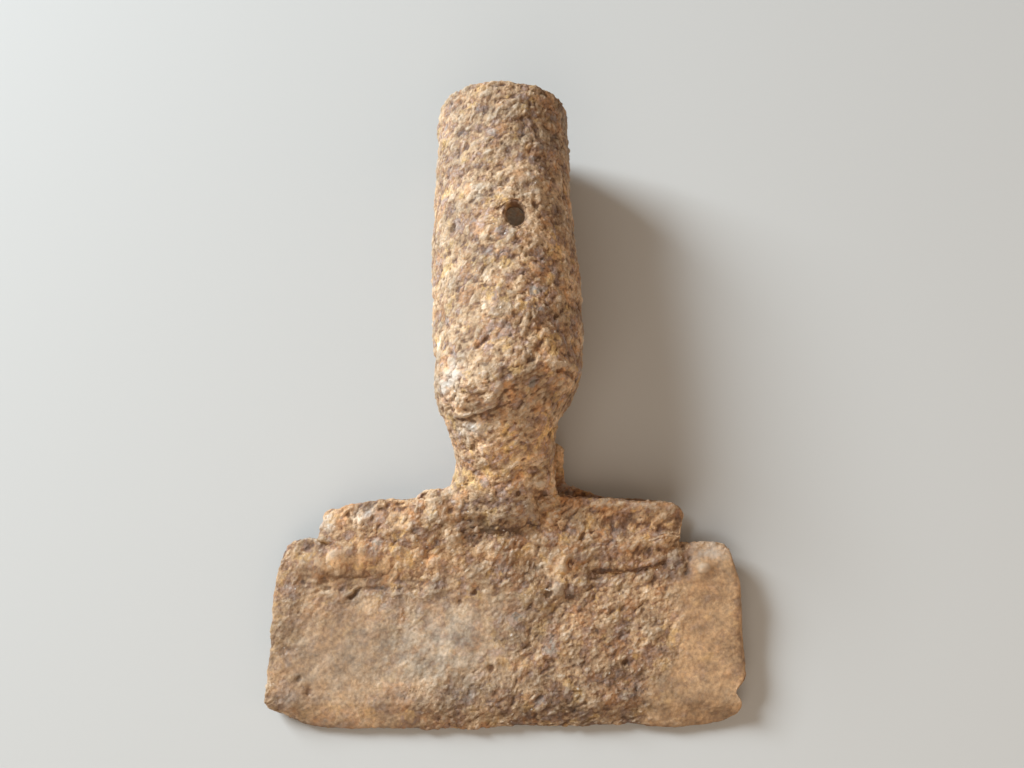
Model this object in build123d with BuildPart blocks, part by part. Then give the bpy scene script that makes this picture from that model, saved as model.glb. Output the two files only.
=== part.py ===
from build123d import *
from math import cos, radians, sin
import os

# Hand-forged socketed scraper head, lying face up. Millimetres.
# X runs across the blade, Y along the socket from the cutting edge to the mouth, Z up.
# The origin is under the middle of the head, on the surface that it lies on.

LENGTH = 151.2  # cutting edge to socket mouth

# Socket, rolled from plate. Its seam is left open along the back, clear of the nail's line.
MOUTH_RADIUS = 16.3
WAIST_RADIUS = 16.8
WAIST_Y = 50.0  # from here to the mouth the socket tapers straight
BELLY_RADIUS = 18.0
BELLY_Y = 17.0  # where the socket is thickest, and where its back touches the table
ROOT_RADIUS = 17.2
ROOT_Y = 0.4  # where the round socket starts to neck down
BORE_RADIUS = 13.5
BORE_DEPTH = 56.0  # the parallel stretch that takes the staff
BORE_CONE = 9.0  # the tapered end below it
BORE_TIP_RADIUS = 8.0
SEAM_X = -6.0
SEAM_AT_MOUTH = 5.2
SEAM_AT_ROOT = 1.6
NAIL_RADIUS = 2.4
NAIL_X = 2.2
NAIL_Y = 38.4

# Neck, from the socket's round root down to the flat tongue: X, Y and Z of the section's centre,
# half width, half height
NECK_SECTIONS = (
    (0.0, -5.6, 17.5, 14.8, 13.6),
    (0.2, -11.6, 15.8, 12.2, 10.6),
    (0.2, -18.6, 12.7, 11.9, 8.0),
    (-1.8, -28.6, 10.6, 12.6, 4.6),
)

# Blade and the plates welded to it. They share a plane that rises from the cutting edge to the neck.
BLADE_RISE = 5.0  # degrees
BLADE_WIDTH = 110.0
BLADE_TOP_WIDTH = 107.6
BLADE_HEIGHT = 43.0
BLADE_THICKNESS = 4.0
BLADE_TOP_CORNER = 4.0
BLADE_LOW_CORNER = 6.5
HEEL_WIDTH = 78.0  # the blade's narrower top, held between the two shoulder plates
HEEL_HEIGHT = 8.0
EDGE_HEIGHT = 9.0  # steel strip along the bottom of the blade, as seen on its face
EDGE_NOSE = 1.4  # thickness left at the worn cutting edge
EDGE_BEVEL = 6.0
SCARF_ANGLE = 40.0  # the weld between blade and strip slopes under the blade

SHOULDER_SHIFT = -1.4  # the shoulders sit a little to one side of the blade
SHOULDER_WIDTH = 85.6
SHOULDER_LAP = 8.0  # how far the plates reach down over the blade
SHOULDER_END_HEIGHT = 14.5
SHOULDER_MID_HEIGHT = 18.5
SHOULDER_MID_WIDTH = 30.0
SHOULDER_CORNER = 2.5
FRONT_THICKNESS = 2.6
REAR_THICKNESS = 2.2
REAR_LIP = 1.4  # the rear plate shows above the front one by this much
REAR_LAP = 10.0
TAB_WIDTH = 25.0
TAB_SHIFT = 2.1
TAB_HEIGHT = 67.0  # top of the rear plate's tab, behind the neck, from the cutting edge

TONGUE_WIDTH = 31.0
TONGUE_SHIFT = -5.4
TONGUE_LOW = 44.5  # bottom of the tongue, from the cutting edge
TONGUE_HIGH = 55.0
TONGUE_THICKNESS = 2.6
TONGUE_CORNER = 4.0

MOUTH_Y = LENGTH / 2
EDGE_Y = -LENGTH / 2 + EDGE_NOSE * sin(radians(BLADE_RISE))
AXIS_Z = BELLY_RADIUS
SHOULDER_LOW = BLADE_HEIGHT - SHOULDER_LAP

blade_plane = Plane(
    origin=(0, EDGE_Y, 0),
    x_dir=(1, 0, 0),
    z_dir=(0, -sin(radians(BLADE_RISE)), cos(radians(BLADE_RISE))),
)
blade_section = Plane(
    origin=blade_plane.origin, x_dir=blade_plane.y_dir, z_dir=blade_plane.x_dir
)
socket_axis = Axis((0, 0, AXIS_Z), (0, 1, 0))
socket_section = Plane(origin=(0, 0, AXIS_Z), x_dir=(0, 1, 0), z_dir=(1, 0, 0))


def cross_section(x, y, z):
    """The plane across the socket or the neck, facing the blade."""
    return Plane(origin=(x, y, z), x_dir=(1, 0, 0), z_dir=(0, -1, 0))


def shoulders(low, lip, neck):
    """A shoulder plate's outline, sloping down to its two ends from the points in neck, its middle top.

    lip is how much larger it is along the top than the front plate.
    """
    ends = SHOULDER_LOW + SHOULDER_END_HEIGHT + lip
    left = SHOULDER_SHIFT - SHOULDER_WIDTH / 2
    right = SHOULDER_SHIFT + SHOULDER_WIDTH / 2
    with BuildSketch() as outline:
        with BuildLine():
            Polyline((left, ends), (left, low), (right, low), (right, ends), *neck, close=True)
        make_face()
        fillet(outline.vertices(), SHOULDER_CORNER)
    return outline.sketch


def front_outline():
    """The front plate's outline, straight across under the neck."""
    middle = SHOULDER_LOW + SHOULDER_MID_HEIGHT
    neck = ((SHOULDER_MID_WIDTH / 2, middle), (-SHOULDER_MID_WIDTH / 2, middle))
    return shoulders(SHOULDER_LOW, 0, neck)


def rear_outline():
    """The rear plate's outline, with the tab that reaches up behind the neck."""
    middle = SHOULDER_LOW + SHOULDER_MID_HEIGHT + REAR_LIP
    left = TAB_SHIFT - TAB_WIDTH / 2
    right = TAB_SHIFT + TAB_WIDTH / 2
    neck = ((right, middle), (right, TAB_HEIGHT), (left, TAB_HEIGHT), (left, middle))
    return shoulders(BLADE_HEIGHT - REAR_LAP, REAR_LIP, neck)


def blade_outline():
    """The whole blade with its steel edge: slightly wider at the bottom, all four corners worn round."""
    with BuildSketch() as outline:
        with BuildLine():
            Polyline(
                (-BLADE_WIDTH / 2, 0),
                (BLADE_WIDTH / 2, 0),
                (BLADE_TOP_WIDTH / 2, BLADE_HEIGHT),
                (-BLADE_TOP_WIDTH / 2, BLADE_HEIGHT),
                close=True,
            )
        make_face()
        fillet(outline.vertices().group_by(Axis.Y)[0], BLADE_LOW_CORNER)
        fillet(outline.vertices().group_by(Axis.Y)[-1], BLADE_TOP_CORNER)
    return outline.sketch


scarf = Plane(
    blade_plane.location * Location((0, EDGE_HEIGHT, BLADE_THICKNESS), (-SCARF_ANGLE, 0, 0))
)

# Blade plate, with the heel that is held between the shoulder plates
with BuildPart() as blade:
    with BuildSketch(blade_plane):
        add(blade_outline())
    extrude(amount=BLADE_THICKNESS)
    split(bisect_by=scarf, keep=Keep.TOP)
    with BuildSketch(blade_plane):
        with Locations((SHOULDER_SHIFT, BLADE_HEIGHT)):
            Rectangle(HEEL_WIDTH, 2 * HEEL_HEIGHT)
    extrude(amount=BLADE_THICKNESS)

# Steel strip forge-welded along the bottom, worn to a blunt bevel
with BuildPart() as cutting_edge:
    with BuildSketch(blade_plane):
        add(blade_outline())
    extrude(amount=BLADE_THICKNESS)
    split(bisect_by=scarf, keep=Keep.BOTTOM)
    with BuildSketch(blade_section):
        with BuildLine():
            Polyline(
                (-1, EDGE_NOSE),
                (0, EDGE_NOSE),
                (EDGE_BEVEL, BLADE_THICKNESS),
                (EDGE_BEVEL, BLADE_THICKNESS + 1),
                (-1, BLADE_THICKNESS + 1),
                close=True,
            )
        make_face()
    extrude(amount=BLADE_WIDTH, both=True, mode=Mode.SUBTRACT)

# Front shoulder plate, lapped over the top of the blade
with BuildPart() as front_shoulder:
    with BuildSketch(blade_plane.offset(BLADE_THICKNESS)):
        add(front_outline())
    extrude(amount=FRONT_THICKNESS)

# Rear plate, behind the blade's heel and the neck
with BuildPart() as rear_plate:
    with BuildSketch(blade_plane.offset(-REAR_THICKNESS)):
        add(rear_outline())
    extrude(amount=REAR_THICKNESS)

# Socket, neck and tongue: one forging
with BuildPart() as socket:
    with BuildSketch(socket_section):
        with BuildLine():
            root = (ROOT_Y, ROOT_RADIUS)
            belly = (BELLY_Y, BELLY_RADIUS)
            waist = (WAIST_Y, WAIST_RADIUS)
            TangentArc(belly, waist, tangent=(1, 0))
            TangentArc(belly, root, tangent=(-1, 0))
            Polyline(root, (ROOT_Y, 0), (MOUTH_Y, 0), (MOUTH_Y, MOUTH_RADIUS), waist)
        make_face()
    revolve(axis=socket_axis)
    with BuildSketch(cross_section(0, ROOT_Y, AXIS_Z)):
        Circle(ROOT_RADIUS)
    for x, y, z, half_width, half_height in NECK_SECTIONS:
        with BuildSketch(cross_section(x, y, z)):
            Ellipse(half_width, half_height)
    loft()
    with BuildSketch(blade_plane.offset(BLADE_THICKNESS)):
        with Locations((TONGUE_SHIFT, (TONGUE_LOW + TONGUE_HIGH) / 2)):
            RectangleRounded(TONGUE_WIDTH, TONGUE_HIGH - TONGUE_LOW, TONGUE_CORNER)
    extrude(amount=FRONT_THICKNESS + TONGUE_THICKNESS)
    add(blade.part, mode=Mode.SUBTRACT)
    add(front_shoulder.part, mode=Mode.SUBTRACT)
    add(rear_plate.part, mode=Mode.SUBTRACT)
    with BuildSketch(socket_section):
        bore_end = MOUTH_Y - BORE_DEPTH
        with BuildLine():
            Polyline(
                (MOUTH_Y, 0),
                (MOUTH_Y, BORE_RADIUS),
                (bore_end, BORE_RADIUS),
                (bore_end - BORE_CONE, BORE_TIP_RADIUS),
                (bore_end - BORE_CONE, 0),
                close=True,
            )
        make_face()
    revolve(axis=socket_axis, mode=Mode.SUBTRACT)
    with BuildSketch(Plane.XY):
        with BuildLine():
            Polyline(
                (SEAM_X - SEAM_AT_ROOT / 2, bore_end),
                (SEAM_X + SEAM_AT_ROOT / 2, bore_end),
                (SEAM_X + SEAM_AT_MOUTH / 2, MOUTH_Y),
                (SEAM_X - SEAM_AT_MOUTH / 2, MOUTH_Y),
                close=True,
            )
        make_face()
    extrude(amount=AXIS_Z, mode=Mode.SUBTRACT)
    with BuildSketch(Plane.XY.offset(AXIS_Z)):
        with Locations((NAIL_X, NAIL_Y)):
            Circle(NAIL_RADIUS)
    extrude(amount=BELLY_RADIUS, mode=Mode.SUBTRACT)

os.makedirs("parts", exist_ok=True)

socket.part.label = "socket_forging"
export_step(socket.part, "parts/socket_forging.step")
front_shoulder.part.label = "front_shoulder_plate"
export_step(front_shoulder.part, "parts/front_shoulder_plate.step")
rear_plate.part.label = "rear_shoulder_plate"
export_step(rear_plate.part, "parts/rear_shoulder_plate.step")
blade.part.label = "blade_plate"
export_step(blade.part, "parts/blade_plate.step")
cutting_edge.part.label = "cutting_edge_strip"
export_step(cutting_edge.part, "parts/cutting_edge_strip.step")
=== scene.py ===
"""Looks for an old hand-forged scraper head: five rust-crusted iron pieces lying on a pale floor.

Each visible piece starts from its CAD solid, worn round at the edges, and is then grown over with
clods, chips, grains, pits and cracks. Lengths in the sculpting code are millimetres. A place on
the blade or the plates on it is x across the blade and s up it from its cutting edge; a place on
the socket is x and y. What the photo shows at one place is a mark, in a table of marks.
"""

import bmesh
import bpy
import math
import numpy as np
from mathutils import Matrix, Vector


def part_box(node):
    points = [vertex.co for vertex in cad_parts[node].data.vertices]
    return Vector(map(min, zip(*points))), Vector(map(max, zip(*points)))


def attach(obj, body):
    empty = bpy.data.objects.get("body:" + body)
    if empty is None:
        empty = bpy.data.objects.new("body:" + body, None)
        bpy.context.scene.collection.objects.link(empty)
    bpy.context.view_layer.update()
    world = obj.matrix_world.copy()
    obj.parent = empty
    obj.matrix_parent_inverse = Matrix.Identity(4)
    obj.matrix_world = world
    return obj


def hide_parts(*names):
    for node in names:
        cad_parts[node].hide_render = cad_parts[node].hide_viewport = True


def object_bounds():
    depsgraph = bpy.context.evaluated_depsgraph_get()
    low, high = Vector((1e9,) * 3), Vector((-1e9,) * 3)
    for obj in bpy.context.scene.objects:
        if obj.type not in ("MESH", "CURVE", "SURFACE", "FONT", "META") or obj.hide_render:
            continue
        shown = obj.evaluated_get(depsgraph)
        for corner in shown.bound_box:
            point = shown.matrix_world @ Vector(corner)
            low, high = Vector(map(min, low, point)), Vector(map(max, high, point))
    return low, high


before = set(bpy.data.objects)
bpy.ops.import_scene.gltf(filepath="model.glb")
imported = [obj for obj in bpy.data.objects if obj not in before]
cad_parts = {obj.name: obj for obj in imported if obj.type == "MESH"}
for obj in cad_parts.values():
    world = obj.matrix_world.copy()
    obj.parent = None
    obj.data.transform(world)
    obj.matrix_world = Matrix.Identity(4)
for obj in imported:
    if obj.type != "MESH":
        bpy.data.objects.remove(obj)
CAD_LOW, CAD_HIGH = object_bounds()

MM = 0.001
RISE = math.radians(5.0)  # the blade's plane rises from the cutting edge to the neck
ALONG = np.array([0.0, math.cos(RISE), math.sin(RISE)])  # up the blade, away from its edge
OUT = np.array([0.0, -math.sin(RISE), math.cos(RISE)])  # out of the blade's face
EDGE = np.array([0.0, CAD_LOW.y / MM, 0.0])
AXIS_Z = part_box("socket_forging")[1][2] / MM / 2  # the socket's axis, half its height up
BORE_RADIUS = 13.5
BORE_LOW = 4.0  # where the bore's thin rust starts
BORE_RUST = 0.25  # how much of the crust's height is left in the bore
NAIL = (2.2, 38.4)  # the nail hole's middle
NAIL_RUST = 0.15  # how much of the crust's height is left on its wall
# the nail hole's wall inside this radius is painted in shade
NAIL_WALL = 2.75  # the wall's outermost worn edge, from the hole's middle
# the bore's far wall behind the nail hole is painted grey and lighter, as painted light
BEHIND_NAIL = (NAIL[0], 53, 11, 13)  # the part of the bore's far wall that shows through it
BLADE_THICKNESS = 4.0
STRIP_HEIGHT = 9.0
SCARF = math.radians(40.0)  # slope of the weld between the blade and its strip
PLATE_FACE = BLADE_THICKNESS + 2.6  # the front shoulder plate's face, from the blade's back
PLATE_LEFT, PLATE_LOW = -44.2, 35.0  # the plate's left end and its lower edge
LAP = 33.6  # where rust carries that lower edge to
TONGUE = (-20.9, 10.1, 44.5)  # the tongue's left, right and lower edges on the blade

# How fine each piece's net is in millimetres, and how many times its points are averaged
VOXEL = 0.34
SOCKET_VOXEL = 0.405  # coarser, because the socket is the largest piece
WEAR = 26  # to wear its edges round
NEAR = 12  # to find small hollows
WIDE = 84  # and wide ones


# Noise and simple forms ----------------------------------------------------------------------


def hashed(cells, seed):
    """A repeatable random number from 0 to 1 for each whole-numbered cell."""
    h = (cells[:, 0] * 73856093) ^ (cells[:, 1] * 19349663) ^ (cells[:, 2] * 83492791)
    h = h ^ (seed * 668265263)
    h = (h ^ (h >> 13)) * 1274126177
    h = (h ^ (h >> 16)) * 2246822519
    return ((h >> 7) & 0xFFFFFF) / 0xFFFFFF


def noise(points, size, seed):
    """Smooth noise from -1 to 1 with features about one size across."""
    p = points / size
    base = np.floor(p).astype(np.int64)
    f = p - base
    f = f * f * f * (f * (f * 6 - 15) + 10)
    total = np.zeros(len(p))
    for corner in np.ndindex(2, 2, 2):
        weight = np.ones(len(p))
        for axis in range(3):
            weight = weight * (f[:, axis] if corner[axis] else 1 - f[:, axis])
        total += weight * hashed(base + np.array(corner), seed)
    return total * 2 - 1


def layered(points, size, seed, octaves=3, falloff=0.5):
    """Noise with finer and fainter copies of itself added, about -1 to 1."""
    total = np.zeros(len(points))
    for octave in range(octaves):
        total += falloff**octave * noise(points, size / 2**octave, seed + 31 * octave)
    return total


def drift(points, size, seed):
    """A smooth random push in all three directions, to make what is grown irregular."""
    return np.stack([noise(points, size, seed + k) for k in range(3)], axis=1)


def around(points, size, seed):
    """The 27 cells round every point: the way from its random centre to the point, and the cell."""
    p = points / size
    base = np.floor(p).astype(np.int64)
    for offset in np.ndindex(3, 3, 3):
        cell = base + np.array(offset) - 1
        centre = cell + np.stack([hashed(cell, seed + k) for k in range(3)], axis=1)
        yield p - centre, cell


def clods(points, size, seed, share, spread=0.85):
    """Half-buried round lumps, 0 to 1 high. share is how many cells hold one."""
    top = np.zeros(len(points))
    for away, cell in around(points, size, seed):
        height = 0.35 + 0.65 * hashed(cell, seed + 5)
        radius = spread * (0.55 + 0.45 * hashed(cell, seed + 6))
        present = hashed(cell, seed + 7) < share
        swell = height * np.sqrt(np.clip(1 - (away**2).sum(axis=1) / radius**2, 0, None))
        top = np.maximum(top, np.where(present, swell, 0))
    return top


def chips(points, size, seed, tilt, crack):
    """Crowded broken chips with flat tilted tops: their height, about -0.5 to 0.5, and a random
    number for each."""
    first = np.full(len(points), 9.0)
    second = first.copy()
    owner = np.zeros((len(points), 3), np.int64)
    arm = np.zeros((len(points), 3))
    for away, cell in around(points, size, seed):
        distance = np.linalg.norm(away, axis=1)
        nearer = distance < first
        second = np.where(nearer, first, np.minimum(second, distance))
        first = np.where(nearer, distance, first)
        owner = np.where(nearer[:, None], cell, owner)
        arm = np.where(nearer[:, None], away, arm)
    slope = np.stack([hashed(owner, seed + 10 + k) for k in range(3)], axis=1) * 2 - 1
    tone = hashed(owner, seed + 5)
    top = tone - 0.5 + tilt * np.einsum("ij,ij->i", arm, slope)
    inside = smooth(0, crack, second - first)
    return top * inside - 0.3 * (1 - inside), tone


def smooth(low, high, value):
    """0 below low, 1 above high and a smooth step between."""
    t = np.clip((value - low) / (high - low), 0, 1)
    return t * t * (3 - 2 * t)


def bell(x, y, cx, cy, rx, ry):
    """A smooth hill of height 1 round a point."""
    return np.exp(-(((x - cx) / rx) ** 2) - ((y - cy) / ry) ** 2)


def ridge(x, y, x0, y0, x1, y1, radius):
    """A smooth ridge of height 1 along a line."""
    dx, dy = x1 - x0, y1 - y0
    t = np.clip(((x - x0) * dx + (y - y0) * dy) / (dx * dx + dy * dy), 0, 1)
    return np.exp(-((x - x0 - t * dx) ** 2 + (y - y0 - t * dy) ** 2) / radius**2)


def hump(value, middle, width):
    """A smooth hill of height 1 along one direction."""
    return np.exp(-(((value - middle) / width) ** 2))


def marks(table, across, up):
    """The sum of a table of marks, each its height, its form and the form's place and size."""
    return sum(height * form(across, up, *place) for height, form, place in table)


# Mesh helpers --------------------------------------------------------------------------------


def clay(node, name, voxel):
    """A new object with the CAD node's shape as an even net of small faces."""
    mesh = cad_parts[node].data.copy()
    work = bmesh.new()
    work.from_mesh(mesh)
    bmesh.ops.remove_doubles(work, verts=work.verts, dist=1e-6)
    work.to_mesh(mesh)
    work.free()
    piece = bpy.data.objects.new(name, mesh)
    bpy.context.scene.collection.objects.link(piece)
    net = piece.modifiers.new("net", "REMESH")
    net.mode = "VOXEL"
    net.voxel_size = voxel * MM
    graph = bpy.context.evaluated_depsgraph_get()
    piece.data = bpy.data.meshes.new_from_object(piece.evaluated_get(graph), depsgraph=graph)
    piece.modifiers.clear()
    piece.data.materials.clear()
    return piece


def read(mesh):
    """A mesh's points and normals, and its edges."""
    points = np.empty(len(mesh.vertices) * 3)
    mesh.vertices.foreach_get("co", points)
    normals = np.empty(len(mesh.vertices) * 3)
    mesh.vertices.foreach_get("normal", normals)
    edges = np.empty(len(mesh.edges) * 2, np.int32)
    mesh.edges.foreach_get("vertices", edges)
    return points.reshape(-1, 3) / MM, normals.reshape(-1, 3), edges.reshape(-1, 2)


def write(mesh, points):
    """Moves a mesh's points."""
    mesh.vertices.foreach_set("co", (points * MM).ravel())
    mesh.update()


def averaged(values, edges, times):
    """Each point's value averaged with its neighbours' along the mesh, several times over."""
    start, end = np.concatenate([edges, edges[:, ::-1]]).T
    degree = np.bincount(start, minlength=len(values))
    for _ in range(times):
        around_it = np.bincount(start, weights=values[end], minlength=len(values)) / degree
        values = 0.5 * (values + around_it)
    return values


def relaxed(points, edges, times):
    """Points averaged with their neighbours in the same way."""
    return np.stack([averaged(points[:, k], edges, times) for k in range(3)], axis=1)


def paint(mesh, name, values):
    """A number for each point that the material reads."""
    layer = mesh.attributes.new(name, "FLOAT", "POINT")
    layer.data.foreach_set("value", np.clip(values, 0, 1).astype(np.float32))


# Where the rust is thick or thin -------------------------------------------------------------

ROUGH_PATCHES = (
    (1, bell, (22, 14, 16, 14)),  # right of the blade's middle
    (1, bell, (-2, 4, 12, 5)),  # along the strip's middle
)


def on_blade(points):
    """Each point's distance up the blade from its cutting edge, and out of its back face."""
    return (points - EDGE) @ ALONG, (points - EDGE) @ OUT


def right_end(points, x, s):
    """1 on the blade's smooth right end, 0 on the crust beside it."""
    edge = x + 3.5 * noise(points, 8.0, 71) + 1.5 * noise(points, 3.0, 74)
    edge += 9 * bell(x, s, 33, 5, 10, 6)
    on_plate = smooth(33, 37, s) * (1 - smooth(42, 45, x))
    return smooth(34, 44, edge) * (1 - on_plate) * (1 - smooth(42, 46, s))


def coarseness(points, normals):
    """How thick and broken the crust is, from 0 to 1: less on parts of the blade and the back."""
    x = points[:, 0]
    s, _ = on_blade(points)
    wander = noise(points, 9.0, 71) * 3.0 + noise(points, 3.5, 74) * 1.4
    above = smooth(38, 46, s)
    calm = np.maximum.reduce(
        [
            bell(x + wander, s, -37, 16, 20, 16),  # the blade's left end
            bell(x + wander, s + wander, -12, 21, 16, 10),  # the grey patch
            bell(x + wander, s, -36, 3, 18, 7),  # the strip's left end
            bell(x, s + 0.6 * wander, -37, 38.0, 15, 6) * 0.9,  # the plate's left end
            right_end(points, x, s),
        ]
    )
    plate = 0.78 - 0.66 * np.clip(1.15 * calm - 0.8 * marks(ROUGH_PATCHES, x, s), 0, 1)
    socket = 0.9 + 0.1 * noise(points, 14.0, 72) - 0.45 * bell(x, points[:, 1], 4, 51, 5, 9)
    front = (1 - above) * plate + above * socket
    back = 0.6 + 0.25 * noise(points, 16.0, 73)
    facing = smooth(-0.35, 0.25, normals[:, 2])
    return np.clip(front * facing + back * (1 - facing), 0, 1)


def leaning(points):
    """Space squeezed along one diagonal, so that what grows in it comes out long that way."""
    diagonal = np.array([0.77, 0.64, 0.0])
    return points - 0.3 * (points @ diagonal)[:, None] * diagonal


def crust(points, coarse):
    """How far the rust stands out of each point of the iron or eats into it, and two numbers from
    its chips that its colour varies with."""
    bent = leaning(points) + 0.6 * drift(points, 4.0, 50) + 0.13 * drift(points, 1.4, 55)
    forged = 0.45 * noise(points, 17.0, 11) + 0.35 * noise(points, 7.0, 12)
    swell = layered(bent, 4.6, 26, octaves=2)
    clod = clods(bent, 4.6, 20, share=0.22)
    chunk, tint = chips(bent, 3.4, 21, tilt=0.8, crack=0.3)
    chip, tone = chips(bent, 1.7, 22, tilt=1.1, crack=0.3)
    grain, speck = chips(bent, 1.0, 23, tilt=1.3, crack=0.35)
    pit = clods(bent, 3.3, 24, share=0.12, spread=0.36)
    ragged = layered(bent, 1.8, 25, falloff=0.75)
    height = forged * (0.6 + 0.5 * coarse)
    height += coarse * (0.35 * clod - 0.08 + 0.28 * swell + 0.24 * chunk + 0.24 * chip)
    height += (0.05 + 0.2 * coarse) * grain
    height += (0.03 + 0.2 * coarse) * ragged
    height -= (0.25 + 0.55 * coarse) * pit
    return height, 0.6 * tone + 0.4 * speck, tint


# Sculpting each piece ------------------------------------------------------------------------

# Marks that move the blade's outline to the right or left
BLADE_SIDEWAYS = (
    (-1.6, bell, (55, 8.4, 1.5, 1.5)),  # notch in the right end
    (-0.5, bell, (-55, 6, 3, 3.2)),  # step in the left end
    (1.0, bell, (-53, 40.5, 4, 3)),  # top left corner, worn back
    (2.2, bell, (-55, 0, 5, 3.5)),  # lower left corner, worn back
)
# and up or down
BLADE_UPWARDS = (
    (2.2, bell, (-52, 0, 7, 4)),  # lower left corner, worn back
    (1.0, bell, (51, 0, 6, 4)),  # lower right corner, worn back
    (1.1, bell, (-45.5, 43, 3.5, 3)),  # top edge's left end, thick with rust
)
# Marks that stand out of the blade's face, or with a minus sink into it
BLADE_MARKS = (
    (0.6, bell, (1, 30, 18, 2.6)),  # long swelling below the tongue
    (1.2, bell, (-46.5, 39, 4, 4.5)),  # thick rust beside the plate's left end
    (1.4, bell, (-44.0, 43.5, 2.6, 2.4)),  # and above that
    (-0.4, ridge, (-42, LAP - 1.6, -20, LAP - 1.8, 0.7)),  # line along the plate's left half
    (1.9, bell, (12.8, 31.9, 1.9, 1.7)),  # knob below the plate
    (1.3, bell, (46.6, 36.6, 1.8, 1.6)),  # knob at the top of the right end
    (-0.7, ridge, (-36.0, 30.0, -34.8, 31.2, 0.6)),  # slit in the pit below that line
    (-0.3, bell, (-35.4, 30.7, 2.2, 1.6)),  # that pit
    (-0.6, bell, (-50.5, 18.5, 2.4, 1.3)),  # pits at the left end
    (-0.6, bell, (-45, 9.0, 1.2, 1.2)),
)
SPALL = (10.4, 14.1, 3.2, 3.0)  # where a round flat flake has come off the blade
SPALL_DEPTH = 0.45
BANK_HEIGHT = 1.3  # rust heaped against the plate's lower edge
BANK_WIDTH = 5.0
BARE_STEPS = (  # where little of it lies there, so that the plate's edge shows as a step
    (1, ridge, (-42, LAP, -20, LAP, 2.6)),
    (1, ridge, (22, LAP + 2.2, 36, LAP + 4.0, 2.6)),
)

# The same for the front plate
FRONT_SIDEWAYS = (
    (1.4, bell, (-44, 49, 4, 3.5)),  # top left corner, worn back
    (0.9, bell, (41, 47.5, 2.5, 2.5)),  # top right corner, sharper
    (-1.6, bell, (41.4, 35, 3.5, 3.5)),  # lower right corner, cut off
)
FRONT_UPWARDS = (
    (1.1, bell, (-32, 50, 9, 3)),  # top edge's left part
    (1.8, bell, (41.4, 35, 3, 3.5)),  # lower right corner, cut off
    (0.5, bell, (41, 47.5, 2.5, 2.5)),  # top right corner, sharper
)
FRONT_MARKS = (
    (1.2, ridge, (22, 51.0, 39, 48.8, 1.6)),  # lip along the top right
    (-0.9, ridge, (24, 46.8, 40, 44.8, 1.9)),  # groove below the lip
    (1.3, bell, (13.7, 37.5, 2.0, 1.8)),  # knob below the tongue's right end
    (-1.0, bell, (15.6, 38.4, 0.9, 0.9)),  # pit beside the knob
    (0.7, bell, (-20, 47, 9, 3.5)),  # swelling left of the tongue
)
LEDGES = (  # where the plate's lower edge stays thick
    (0.6, ridge, (24, LAP + 2.0, 36, LAP + 1.6, 2.2)),
    (0.2, ridge, (-40, LAP, -22, LAP, 2)),
)
TONGUE_STEP = (-8, 44, 2, 45, 2.4)  # where the tongue's lower edge stays a step

# and the socket
SOCKET_MARKS = (
    (-0.8, ridge, (-6.9, 6.2, -5.4, 7.6, 0.45)),  # slit above the flake
    (-0.3, bell, (-6.2, 7, 2.4, 2.0)),  # dent round the slit
    (0.8, bell, (-14, 0, 5, 7)),  # bulge left of the flake
    (-1.1, bell, (14.5, 1.5, 2.0, 0.8)),  # slit at the right edge
    (0.6, ridge, (10.5, 3.5, 14, 3.0, 1.3)),  # lip above that slit
)
FLAKE_HEIGHT = 1.3
TONGUE_KEPT = (-8, 45.5, 2, 46.5, 2.2)  # where the tongue's lower edge stays thick
TONGUE_CRACK = (8.4, 51.5, 9.2, 44.5, 0.6)


def bent_by_hand(points):
    """The whole head's slow waviness, the same for every piece, so that they stay together."""
    wave = drift(points, 13.0, 90) + 0.5 * drift(points, 5.5, 95)
    return points + wave * np.array([0.4, 0.4, 0.22])


def lap_line(x):
    """Where the plate's rusted lower edge runs, which climbs towards the plate's right end."""
    return LAP + 2.3 * smooth(15, 24, x) + 1.8 * smooth(26, 38, x)


def lap_wander(points):
    """How far the plate's rusted lower edge strays up or down."""
    return 1.5 * noise(points, 6.5, 61) + 0.8 * noise(points, 2.6, 64)


def top_lift(x, s):
    """How far both plates' top edges rise towards their right."""
    return 1.6 * smooth(15, 38, x) * smooth(45, 49, s)


def blade_shape(points, normals):
    """The blade and its strip: worn ends, rust banked against the plate, knobs, pits, a spall."""
    s, _ = on_blade(points)
    x = points[:, 0]
    face = smooth(0.2, 0.7, normals @ OUT)
    wide_end = 1.2 * smooth(44, 54, x) * smooth(9, 13, s) * (1 - smooth(33, 40, s))
    worn_edge = 0.4 * (1 - smooth(0, 6, s))
    shift = np.zeros_like(points)
    shift[:, 0] = wide_end + marks(BLADE_SIDEWAYS, x, s)
    shift[:, 1] = worn_edge + marks(BLADE_UPWARDS, x, s)
    lap = lap_line(x) + lap_wander(points)
    bank = smooth(lap - BANK_WIDTH, lap + 0.5, s) * (1 - smooth(40, 43, s))
    bank *= smooth(-47, -42, x) * (1 - smooth(39, 43, x))
    bare = np.clip(marks(BARE_STEPS, x, s), 0, 1)
    rise = BANK_HEIGHT * bank * (1 - 0.9 * bare) + marks(BLADE_MARKS, x, s)
    rise -= SPALL_DEPTH * smooth(0.3, 0.8, bell(x, s, *SPALL))
    return points + shift + (face * rise)[:, None] * OUT


def off_tongue(x, s):
    """How far outside the tongue's outline a place on the plate is, negative inside it."""
    left, right, low = TONGUE
    aside = np.abs(x - (left + right) / 2) - (right - left) / 2
    below = low - s
    outside = np.hypot(np.maximum(aside, 0), np.maximum(below, 0))
    return outside + np.minimum(np.maximum(aside, below), 0)


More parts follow.
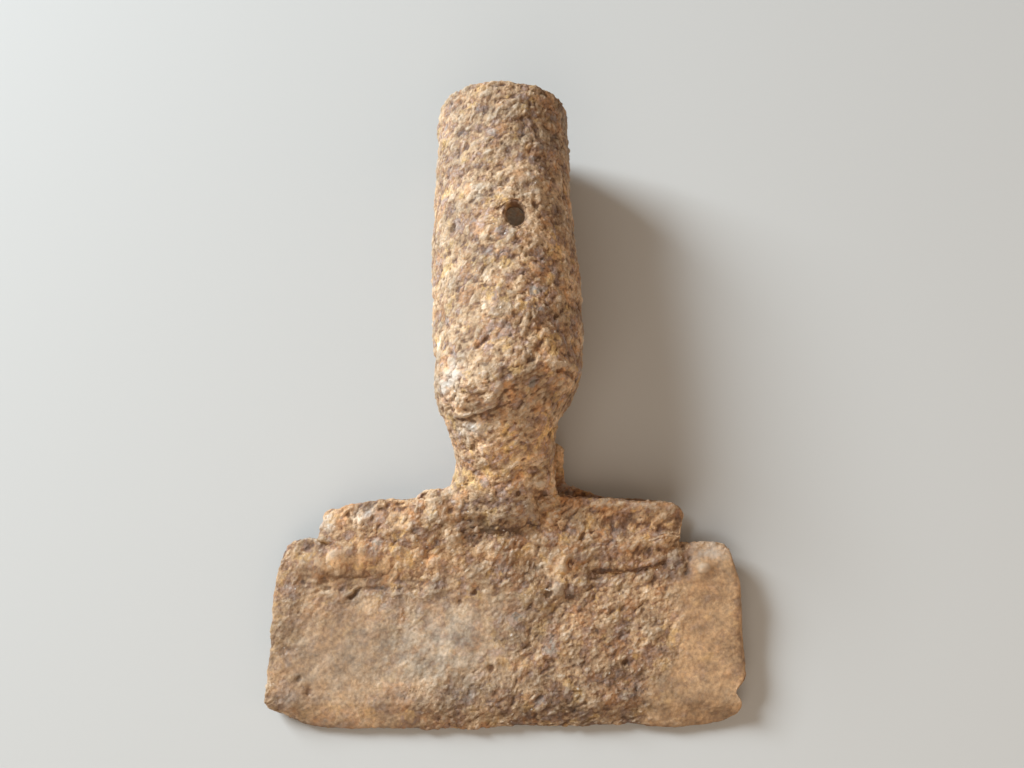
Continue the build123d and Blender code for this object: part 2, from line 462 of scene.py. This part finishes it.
def front_shape(points, normals):
    """The front shoulder plate: rust carries its lower and left edges out over the blade, but for a
    ledge low on its right, and a lip runs along its top right."""
    s, n = on_blade(points)
    x = points[:, 0]
    face = smooth(0.0, 0.6, normals @ OUT)
    wander = lap_wander(points)
    low = 1 - smooth(0, 6.0, s - PLATE_LOW - 0.6 * wander)
    left = 1 - smooth(0, 5.0, x - PLATE_LEFT + 0.5 * wander + 10 * smooth(42, 45, s))
    right = 0.9 * smooth(36, 41, x) * (1 - smooth(38, 45, s))
    thin = np.maximum.reduce([low, left, right]) * (1 - marks(LEDGES, x, s))
    buried = 1 - smooth(0.4, 2.0, n - BLADE_THICKNESS)
    rim = 1 - smooth(0, 1.8, s - PLATE_LOW)
    rim = np.maximum(rim, left * (1 - smooth(0, 1.8, x - PLATE_LEFT)))
    sunk = 1.05 * thin * (n - BLADE_THICKNESS) + 1.5 * buried + rim
    from_tongue = off_tongue(x + noise(points, 4.0, 62), s)
    heaped = (1 - smooth(0, 4.5, from_tongue)) * (1 - 0.8 * ridge(x, s, *TONGUE_STEP))
    rise = 1.1 * heaped + marks(FRONT_MARKS, x, s)
    climb = (lap_line(x) - LAP) * (1 - smooth(0, 12, s - PLATE_LOW))
    along = top_lift(x, s) + climb - 2.0 * low + marks(FRONT_UPWARDS, x, s)
    shift = np.zeros_like(points)
    shift[:, 0] = marks(FRONT_SIDEWAYS, x, s) - 1.8 * left
    return points + shift + along[:, None] * ALONG + (face * rise - sunk)[:, None] * OUT


def rear_shape(points, normals):
    """The rear shoulder plate: its top rises with the front one's, most of all beside the neck."""
    s, n = on_blade(points)
    x = points[:, 0]
    along = top_lift(x, s) + 1.5 * bell(x, s, 17.5, 55, 4.5, 4)
    buried = smooth(-1.7, -0.3, n) * (1 - smooth(44, 48, s))
    return points + along[:, None] * ALONG + (1.4 * buried)[:, None] * OUT


def lifted_flake(points):
    """1 on the frayed flake that lifts off above the neck, 0 beside and below it."""
    x, y, _ = points.T
    frayed = 0.9 * noise(points, 3.0, 63)
    lower_edge = smooth(-0.45, 0.45, y + 7.8 - 0.45 * np.maximum(x + 5, 0) + frayed)
    sides = smooth(-12.5, -9, x) * (1 - smooth(-1.9, -0.9, x + frayed))
    return lower_edge * (1 - smooth(-6, 5, y)) * sides


def socket_shape(points, normals):
    """The socket, neck and tongue: the lifted flake, the slits, the tongue's soft edges and the
    bent outline."""
    x, y, z = points.T
    s, n = on_blade(points)
    up = smooth(-0.1, 0.45, normals[:, 2])
    side = smooth(0.2, 0.8, normals[:, 0])
    face = smooth(0.2, 0.7, normals @ OUT)
    rise = FLAKE_HEIGHT * lifted_flake(points) + marks(SOCKET_MARKS, x, y)

    tongue = 1 - smooth(-25, -21, y)
    inward = -off_tongue(x + noise(points, 4.0, 62), s)
    kept = 0.4 * ridge(x, s, *TONGUE_KEPT)
    sunk = (1 - smooth(-0.5, 4.5, inward)) * (1 - kept) * np.maximum(n - PLATE_FACE, 0)
    sunk += 1.4 * (1 - smooth(0.4, 1.8, np.abs(n - PLATE_FACE)))
    sunk += 0.8 * (1 - smooth(0, 1.5, inward))
    sunk += face * ridge(x, s, *TONGUE_CRACK)
    spread = 1.2 * (1 - np.abs(normals @ OUT)) * (1 - kept)
    moved = points + (up * rise + tongue * spread)[:, None] * normals
    moved -= (tongue * sunk)[:, None] * OUT

    moved[:, 0] -= side * bell(y, z, 20.7, AXIS_Z + 4, 0.9, 3.0)  # nick in the right edge
    bend = 1.2 * hump(y, 15, 18) - 0.5 * smooth(45, 70, y) - 0.6 * hump(y, -14, 9)
    waist = 1.4 * smooth(0, 12, x) * hump(y, -5, 5.5)  # the right side, drawn in above the neck
    moved[:, 0] += bend - waist
    at_nail = (1 - smooth(2.8, 4.0, np.hypot(x - NAIL[0], y - NAIL[1]))) * (z > AXIS_Z)
    moved[:, 1] += 0.22 * at_nail * (y - NAIL[1])  # nail hole a little longer than it is wide
    return moved


def outside_bore(points):
    """How far outside the bore's wall each point is, negative inside it."""
    return np.hypot(points[:, 0], points[:, 2] - AXIS_Z) - BORE_RADIUS


def kept_open(points):
    """How much of its height the rust keeps: little on the nail hole's wall and inside the bore."""
    x, y, z = points.T
    nail = smooth(2.0, 3.0, np.hypot(x - NAIL[0], y - NAIL[1])) + (z < AXIS_Z)
    bore = np.where((outside_bore(points) < 0.7) & (y > BORE_LOW), BORE_RUST, 1.0)
    return np.clip(nail, NAIL_RUST, 1) * bore


def from_weld(points):
    """Each point's distance above the weld's plane, where the blade meets its strip."""
    s, n = on_blade(points)
    return (s - STRIP_HEIGHT) * math.sin(SCARF) + (n - BLADE_THICKNESS) * math.cos(SCARF)


def welded(points, normals, edges, wear):
    """Points with their edges worn round, but for those at the weld, where both sides run a little
    into each other; how far each is from the weld; and which lie in it."""
    offset = from_weld(points)
    loose = smooth(0.8, 3.0, np.abs(offset))[:, None]
    across = normals @ (math.sin(SCARF) * ALONG + math.cos(SCARF) * OUT)
    joined = (np.abs(across) > 0.8) & (np.abs(offset) < 0.5)
    worn = points + loose * (relaxed(points, edges, wear) - points)
    worn += 0.5 * (joined * np.sign(across))[:, None] * ALONG
    return worn, loose[:, 0], joined


def flushed(points, normals, loose, joined):
    """Directions to grow in that make one even face of the blade and its strip across their weld,
    and the places on that face that the points hidden in the weld grow along with."""
    _, n = on_blade(points)
    outward = np.sign(normals @ OUT)
    flush = (1 - loose) * (np.abs(normals @ OUT) > 0.3) * ~joined
    middle = BLADE_THICKNESS / 2
    hidden = np.clip(n - middle, -1, 1)
    normals = normals * (1 - flush)[:, None] + (outward * flush)[:, None] * OUT
    normals = np.where(joined[:, None], hidden[:, None] * OUT, normals)
    rise = np.where(n > middle, BLADE_THICKNESS, 0) - n
    return normals, points + (rise * joined)[:, None] * OUT


# Painted glints: where the colour is painted pale grey as a highlight
PAINTED_GLINT_PLACES = (
    (1.0, bell, (-42.4, 47.2, 2.6, 2.0)),  # left shoulder's corner
    (0.8, bell, (-33, 48.6, 2.6, 1.4)),
    (1.0, bell, (-6.8, 67.0, 2.8, 1.5)),  # below the flake
    (0.9, bell, (-11.4, 79.5, 1.7, 2.2)),  # above it
    (0.8, bell, (-13.4, 76.5, 1.6, 2.2)),
    (0.5, bell, (49, 40.5, 4, 2.5)),  # right end's top corner
)
# Where the colour is painted lighter, or with a minus darker; on the neck this is painted light
LIGHTER = (
    (0.36, bell, (-1, 62, 13, 8)),  # neck
    (-0.24, bell, (6, 143, 13, 12)),  # socket's mouth
    (0.3, bell, (-36, 39, 14, 4)),  # plate's left end
    (0.12, bell, (-33, 4, 22, 5)),  # strip's left end
    (0.1, bell, (-30, 47, 10, 4)),  # left shoulder
    (-0.26, bell, (12, 4, 24, 5)),  # strip's middle
    (-0.18, bell, (-2, 47, 14, 6)),  # tongue
    (-0.13, bell, (-43, 17, 11, 13)),  # blade's left end
)
MAUVE_FLAKE = (-8, 73.5, 4.5, 3.5)  # the flake's lower part


def lightness(x, s):
    """How light the colour is, 0.5 for ordinary, with painted light on the neck."""
    right_light = 0.03 * smooth(38, 44, x) * (1 - smooth(33, 37, s))
    return 0.5 + marks(LIGHTER, x, s) + right_light


def paint_places(mesh, points, normals, edges, stand):
    """Paints the numbers for painted shade in hollows and painted highlights on crests, grey,
    painted glints, lightness with painted light, and sand, from each place and how far it stands
    out."""
    x, y, z = points.T
    s, _ = on_blade(points)
    near = averaged(stand, edges, NEAR) - stand
    wide = averaged(stand, edges, WIDE) - stand
    nail_wall_shade = (np.hypot(x - NAIL[0], y - NAIL[1]) < NAIL_WALL) * (z > AXIS_Z)
    # painted shade in hollows and on the nail hole's wall, painted highlights on crests
    paint(mesh, "painted_shade_and_highlight", 0.5 + 1.0 * near + 0.35 * wide + 0.3 * nail_wall_shade)
    wander = 3 * noise(points, 7.0, 81) + noise(points, 2.5, 82)
    facing = smooth(0.1, 0.5, normals[:, 2])
    grey = 1.3 * bell(x + wander, s, -14, 19, 12, 10)  # the blade's grey patch, and fainter ones
    grey += 0.35 * bell(x, s + wander, 4, 27, 9, 5) + 0.5 * bell(x + wander, s, -38, 13, 15, 16)
    grey = facing * (1 - smooth(30, 35, s)) * np.clip(grey, 0, 1)
    # painted light: the bore's far wall seen through the nail hole, painted grey, pale and lighter
    painted_light_behind_nail = (outside_bore(points) < 0.6) * bell(x, y, *BEHIND_NAIL)
    glint_patches = np.clip(marks(PAINTED_GLINT_PLACES, x, s), 0, 1)
    paint(mesh, "grey", np.maximum(grey, painted_light_behind_nail))
    # painted glints on upward faces, and painted light on the bore's far wall behind the nail hole
    paint(mesh, "pale", np.maximum(glint_patches * smooth(0, 0.3, normals[:, 2]), 0.9 * painted_light_behind_nail))
    # how light the colour is, with painted light on the neck, at the glints and behind the nail
    # hole
    paint(mesh, "light", lightness(x, s) + 0.15 * glint_patches + 0.5 * painted_light_behind_nail)
    sand = bell(x, s + wander, -40, 16, 16, 16) * (1 - smooth(36, 40, s))
    paint(mesh, "sand", facing * np.maximum(sand, right_end(points, x, s)))


def sculpt(piece, shape, coarse_scale, welded_on):
    """Shapes a piece, grows its crust, and paints what its material needs to know."""
    mesh = piece.data
    points, normals, edges = read(mesh)
    if welded_on:
        points, loose, joined = welded(points, normals, edges, WEAR)
        write(mesh, points)
        normals, places = flushed(points, read(mesh)[1], loose, joined)
    else:
        points = relaxed(points, edges, WEAR)
        write(mesh, points)
        normals, places = read(mesh)[1], points
    coarse = coarseness(places, normals) * coarse_scale
    height, tone, tint = crust(places, coarse)
    height = height * kept_open(points)
    shaped = shape(points, normals)
    write(mesh, bent_by_hand(shaped) + height[:, None] * normals)
    stand = height + np.einsum("ij,ij->i", shaped - points, normals)
    paint(mesh, "coarse", coarse)
    paint(mesh, "tone", tone - 0.2 * bell(points[:, 0], on_blade(points)[0], *MAUVE_FLAKE))
    paint(mesh, "tint", tint)
    paint_places(mesh, points, normals, edges, stand)
    for polygon in mesh.polygons:
        polygon.use_smooth = True


# Materials -----------------------------------------------------------------------------------

# The rust's colours
# PALE is also the colour of the painted highlights on crests
PALE = (0.63, 0.52, 0.405, 1)
TAN = (0.45, 0.31, 0.19, 1)
ORANGE = (0.42, 0.215, 0.09, 1)
OCHRE = (0.50, 0.325, 0.135, 1)
BROWN = (0.26, 0.14, 0.066, 1)
MAUVE = (0.33, 0.225, 0.185, 1)
SLATE = (0.28, 0.25, 0.225, 1)
GREY = (0.51, 0.46, 0.405, 1)
SAND = (0.43, 0.285, 0.165, 1)
# GLINT is the colour of painted glints and of the painted light behind the nail hole
GLINT = (0.72, 0.68, 0.62, 1)
MOTTLING = ((0.28, SLATE), (0.37, MAUVE), (0.44, BROWN), (0.53, TAN), (0.6, TAN), (0.7, PALE))
# painted shade: what a colour in a hollow is multiplied by
SHADE = (0.36, 0.28, 0.205, 1)  # what is left of a colour in a hollow
# What a whole piece's colours are multiplied by
IN_LIGHT = (1.18, 1.14, 1.09, 1)  # the socket, pale
WARM = (1.08, 0.965, 0.83, 1)  # the shoulder plates
DEEP = (0.87, 0.775, 0.665, 1)  # the blade and its strip, darker
SHINE = 0.8  # more than bare rust has, for the photo's many small glints


class Shader:
    """A material's node tree, with short calls for the nodes that the rust needs."""

    def __init__(self, name):
        self.material = bpy.data.materials.new(name)
        self.material.use_nodes = True
        self.tree = self.material.node_tree
        self.surface = next(n for n in self.tree.nodes if n.type == "BSDF_PRINCIPLED")
        place = self.tree.nodes.new("ShaderNodeTexCoord")
        self.space = self.tree.nodes.new("ShaderNodeMapping")
        self.space.inputs["Scale"].default_value = (1 / MM, 1 / MM, 1 / MM)
        self.tree.links.new(place.outputs["Object"], self.space.inputs["Vector"])

    def noise(self, size, detail, roughness, seed):
        """Cloudy noise with features one size across, in millimetres."""
        node = self.tree.nodes.new("ShaderNodeTexNoise")
        node.noise_dimensions = "4D"
        node.inputs["W"].default_value = seed
        node.inputs["Scale"].default_value = 1 / size
        node.inputs["Detail"].default_value = detail
        node.inputs["Roughness"].default_value = roughness
        self.tree.links.new(self.space.outputs[0], node.inputs["Vector"])
        return node.outputs["Fac"]

    def grains(self, size, seed):
        """Distance to the middle of grains one size across."""
        node = self.tree.nodes.new("ShaderNodeTexVoronoi")
        node.voronoi_dimensions = "4D"
        node.inputs["W"].default_value = seed
        node.inputs["Scale"].default_value = 1 / size
        self.tree.links.new(self.space.outputs[0], node.inputs["Vector"])
        return node.outputs["Distance"]

    def painted(self, name):
        """What paint left on the mesh under that name."""
        node = self.tree.nodes.new("ShaderNodeAttribute")
        node.attribute_name = name
        return node.outputs["Fac"]

    def between(self, value, low, high, start=0.0, end=1.0):
        """Maps low..high to start..end with a smooth step."""
        node = self.tree.nodes.new("ShaderNodeMapRange")
        node.interpolation_type = "SMOOTHSTEP"
        for socket, number in zip(node.inputs[1:5], (low, high, start, end)):
            socket.default_value = number
        self.tree.links.new(value, node.inputs[0])
        return node.outputs[0]

    def maths(self, operation, first, second):
        """A sum, product or other result of two values."""
        node = self.tree.nodes.new("ShaderNodeMath")
        node.operation = operation
        self.set(node.inputs[0], first)
        self.set(node.inputs[1], second)
        return node.outputs[0]

    def mix(self, amount, first, second, blend="MIX"):
        """Mixes two colours."""
        node = self.tree.nodes.new("ShaderNodeMix")
        node.data_type = "RGBA"
        node.blend_type = blend
        self.set(node.inputs[0], amount)
        self.set(node.inputs[6], first)
        self.set(node.inputs[7], second)
        return node.outputs[2]

    def ramp(self, value, stops):
        """A colour for each value, from stops of a value and its colour."""
        node = self.tree.nodes.new("ShaderNodeValToRGB")
        elements = node.color_ramp.elements
        while len(elements) < len(stops):
            elements.new(0.5)
        for element, (position, colour) in zip(elements, stops):
            element.position = position
            element.color = colour
        self.tree.links.new(value, node.inputs[0])
        return node.outputs[0]

    def bump(self, height, distance, strength, below=None):
        """Fine relief in the shading, distance millimetres high, on top of another relief."""
        node = self.tree.nodes.new("ShaderNodeBump")
        self.set(node.inputs["Strength"], strength)
        node.inputs["Distance"].default_value = distance * MM
        self.set(node.inputs["Height"], height)
        if below is not None:
            self.tree.links.new(below, node.inputs["Normal"])
        return node.outputs[0]

    def set(self, socket, value):
        """Gives a socket a fixed value, or links another node's output to it."""
        if isinstance(value, bpy.types.NodeSocket):
            self.tree.links.new(value, socket)
        else:
            socket.default_value = value


def rust(name, redness, cast):
    """Mottled tan, orange, ochre and mauve rust, with painted shade in its hollows and painted
    highlights on its crests.
    """
    shader = Shader(name)
    painted_shade_and_highlight = shader.painted("painted_shade_and_highlight")
    coarse = shader.painted("coarse")
    tint = shader.painted("tint")

    # Mottling: clouds that shift a little from chip to chip, then red, yellow and mauve patches
    by_chip = shader.between(shader.painted("tone"), 0.1, 0.9, -0.09, 0.09)
    clouds = shader.maths("ADD", shader.noise(6.0, 6, 0.68, 0), by_chip)
    colour = shader.ramp(clouds, MOTTLING)
    by_chip = shader.between(tint, 0.6, 1.0, 0, 0.12)
    orange = shader.maths("ADD", shader.noise(3.6, 5, 0.6, 1), by_chip)
    colour = shader.mix(shader.between(orange, 0.55, 0.68, 0, redness), colour, ORANGE)
    by_chip = shader.between(tint, 0.0, 0.4, 0.1, 0)
    ochre = shader.maths("ADD", shader.noise(3.0, 5, 0.6, 2), by_chip)
    colour = shader.mix(shader.between(ochre, 0.57, 0.68, 0, 0.8), colour, OCHRE)
    mauve = shader.between(shader.noise(2.6, 5, 0.65, 3), 0.55, 0.66, 0, 0.7)
    colour = shader.mix(mauve, colour, MAUVE)

    # Where the blade is sandy or grey
    patchy = shader.noise(2.4, 5, 0.65, 4)
    sand = shader.between(patchy, 0.35, 0.65, 0.92, 0.5)
    colour = shader.mix(shader.maths("MULTIPLY", shader.painted("sand"), sand), colour, SAND)
    grey = shader.between(patchy, 0.38, 0.62, 0.3, 0.9)
    colour = shader.mix(shader.maths("MULTIPLY", shader.painted("grey"), grey), colour, GREY)

    # Lighter and darker: broad clouds, grains, painted areas and painted light, the piece as a
    # whole
    broad = shader.between(shader.noise(5.0, 3, 0.5, 8), 0.32, 0.68, 0.74, 1.3)
    grain = shader.between(shader.noise(0.8, 4, 0.7, 5), 0.3, 0.7, 0.7, 1.28)
    light = shader.between(shader.painted("light"), 0, 1, 0.5, 1.5)
    for factor in (broad, grain, light, cast):
        colour = shader.mix(1.0, colour, factor, "MULTIPLY")

    # Painted highlights on crests, painted glints at listed places, painted shade in hollows,
    # and painted glints at random
    colour = shader.mix(shader.between(painted_shade_and_highlight, 0.44, 0.2, 0, 0.4), colour, PALE)
    glint_patches = shader.between(patchy, 0.4, 0.58, 0.25, 0.95)
    colour = shader.mix(shader.maths("MULTIPLY", shader.painted("pale"), glint_patches), colour, GLINT)
    shaded = shader.mix(1.0, colour, SHADE, "MULTIPLY")
    colour = shader.mix(shader.between(painted_shade_and_highlight, 0.53, 0.8, 0, 0.9), colour, shaded)
    glint = shader.between(shader.noise(1.1, 2, 0.5, 9), 0.71, 0.77)
    glint = shader.maths("MULTIPLY", coarse, glint)
    colour = shader.mix(glint, colour, GLINT)
    shader.set(shader.surface.inputs["Base Color"], colour)

    dull = shader.between(shader.noise(1.3, 4, 0.7, 6), 0.48, 0.7, 0.8, 0.34)
    dull = shader.maths("SUBTRACT", dull, shader.between(glint, 0, 1, 0, 0.1))
    shader.set(shader.surface.inputs["Roughness"], dull)
    shader.surface.inputs["Specular IOR Level"].default_value = SHINE
    fine = shader.between(coarse, 0.1, 0.8, 0.45, 0.9)
    relief = shader.bump(shader.noise(0.45, 5, 0.7, 7), 0.28, fine)
    grainy = shader.between(coarse, 0.1, 0.8, 0.15, 0.75)
    relief = shader.bump(shader.grains(0.75, 0), 0.3, grainy, relief)
    shader.set(shader.surface.inputs["Normal"], relief)
    return shader.material


# The pieces ----------------------------------------------------------------------------------

# CAD node, piece, material slot and shape
PIECES = (
    ("socket_forging", "socket_crusted", "rusted_socket", socket_shape),
    ("front_shoulder_plate", "front_shoulder_crusted", "rusted_shoulder", front_shape),
    ("rear_shoulder_plate", "rear_shoulder_crusted", "rusted_shoulder", rear_shape),
    ("blade_plate", "blade_crusted", "rusted_blade", blade_shape),
    ("cutting_edge_strip", "edge_strip_crusted", "rusted_edge", blade_shape),
)
WELDED = ("blade_plate", "cutting_edge_strip")
NETS = {"socket_forging": SOCKET_VOXEL}
# How coarse and how red each piece's rust is, and its cast
RUST = {
    "socket_forging": (1.0, 0.7, IN_LIGHT),
    "front_shoulder_plate": (1.0, 0.8, WARM),
    "rear_shoulder_plate": (0.8, 0.6, WARM),
    "blade_plate": (1.0, 0.8, DEEP),
    "cutting_edge_strip": (1.0, 0.8, DEEP),
}

for node, name, slot, shape in PIECES:
    coarse_scale, redness, cast = RUST[node]
    piece = clay(node, name, NETS.get(node, VOXEL))
    sculpt(piece, shape, coarse_scale, welded_on=node in WELDED)
    piece.data.materials.append(rust(name, redness, cast))
    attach(piece, "root")
    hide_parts(node)


# Floor, light and camera ---------------------------------------------------------------------

REACH = 3.0  # of the floor to each side
FLOOR_DEPTH = 0.6 * MM  # just under the crust's lowest lumps
FLOOR_COLOUR = (0.53, 0.53, 0.525, 1)
ROOM_COLOUR = (1.0, 0.85, 0.70, 1)  # warm light from all round
ROOM_STRENGTH = 0.2
# Name, place, size, power, colour: the window's cool light from the upper left, as in the photo,
# and two weak warm lights
LIGHTS = (
    ("window", (-1.05, 0.71, 0.71), 0.58, 37.0, (0.86, 0.95, 1.0)),
    ("front", (-0.15, -0.55, 0.55), 0.6, 2.0, (1.0, 0.88, 0.74)),
    ("fill", (0.6, -0.2, 0.5), 0.7, 1.3, (1.0, 0.70, 0.45)),
)
LENS = 36.4  # on a 36 mm sensor
LEAN = math.radians(17.5)  # how far the camera looks up the tool from straight above it
DISTANCE = 0.2641
AIM = Vector((0.00175, 0.0081, 0))


def plain_floor():
    """A large pale sheet under the object."""
    mesh = bpy.data.meshes.new("floor")
    corners = [(-REACH, -REACH, 0), (REACH, -REACH, 0), (REACH, REACH, 0), (-REACH, REACH, 0)]
    mesh.from_pydata(corners, [], [(0, 1, 2, 3)])
    floor = bpy.data.objects.new("floor", mesh)
    bpy.context.scene.collection.objects.link(floor)
    floor.location.z = -FLOOR_DEPTH
    material = bpy.data.materials.new("floor")
    material.use_nodes = True
    surface = next(n for n in material.node_tree.nodes if n.type == "BSDF_PRINCIPLED")
    surface.inputs["Base Color"].default_value = FLOOR_COLOUR
    surface.inputs["Roughness"].default_value = 0.75
    mesh.materials.append(material)


def softbox(name, place, size, power, colour):
    """A square studio light aimed at the object's middle."""
    data = bpy.data.lights.new(name, "AREA")
    data.shape = "SQUARE"
    data.size = size
    data.energy = power
    data.color = colour
    light = bpy.data.objects.new(name, data)
    light.location = place
    light.rotation_euler = (-Vector(place)).to_track_quat("-Z", "Y").to_euler()
    bpy.context.scene.collection.objects.link(light)


def studio():
    """Soft studio light and a dim warm room, with colours shown as they are."""
    for light in LIGHTS:
        softbox(*light)
    world = bpy.data.worlds.new("room")
    world.use_nodes = True
    background = world.node_tree.nodes["Background"]
    background.inputs["Color"].default_value = ROOM_COLOUR
    background.inputs["Strength"].default_value = ROOM_STRENGTH
    bpy.context.scene.world = world
    bpy.context.scene.view_settings.view_transform = "Standard"


def photo_camera():
    """A close look from in front and above, as the tool is seen lying on a table."""
    data = bpy.data.cameras.new("camera")
    data.sensor_width = 36.0
    data.lens = LENS
    data.clip_start = 0.01
    camera = bpy.data.objects.new("camera", data)
    camera.location = AIM + DISTANCE * Vector((0, -math.sin(LEAN), math.cos(LEAN)))
    camera.rotation_euler = (LEAN, 0, 0)
    bpy.context.scene.collection.objects.link(camera)
    bpy.context.scene.camera = camera


plain_floor()
studio()
photo_camera()
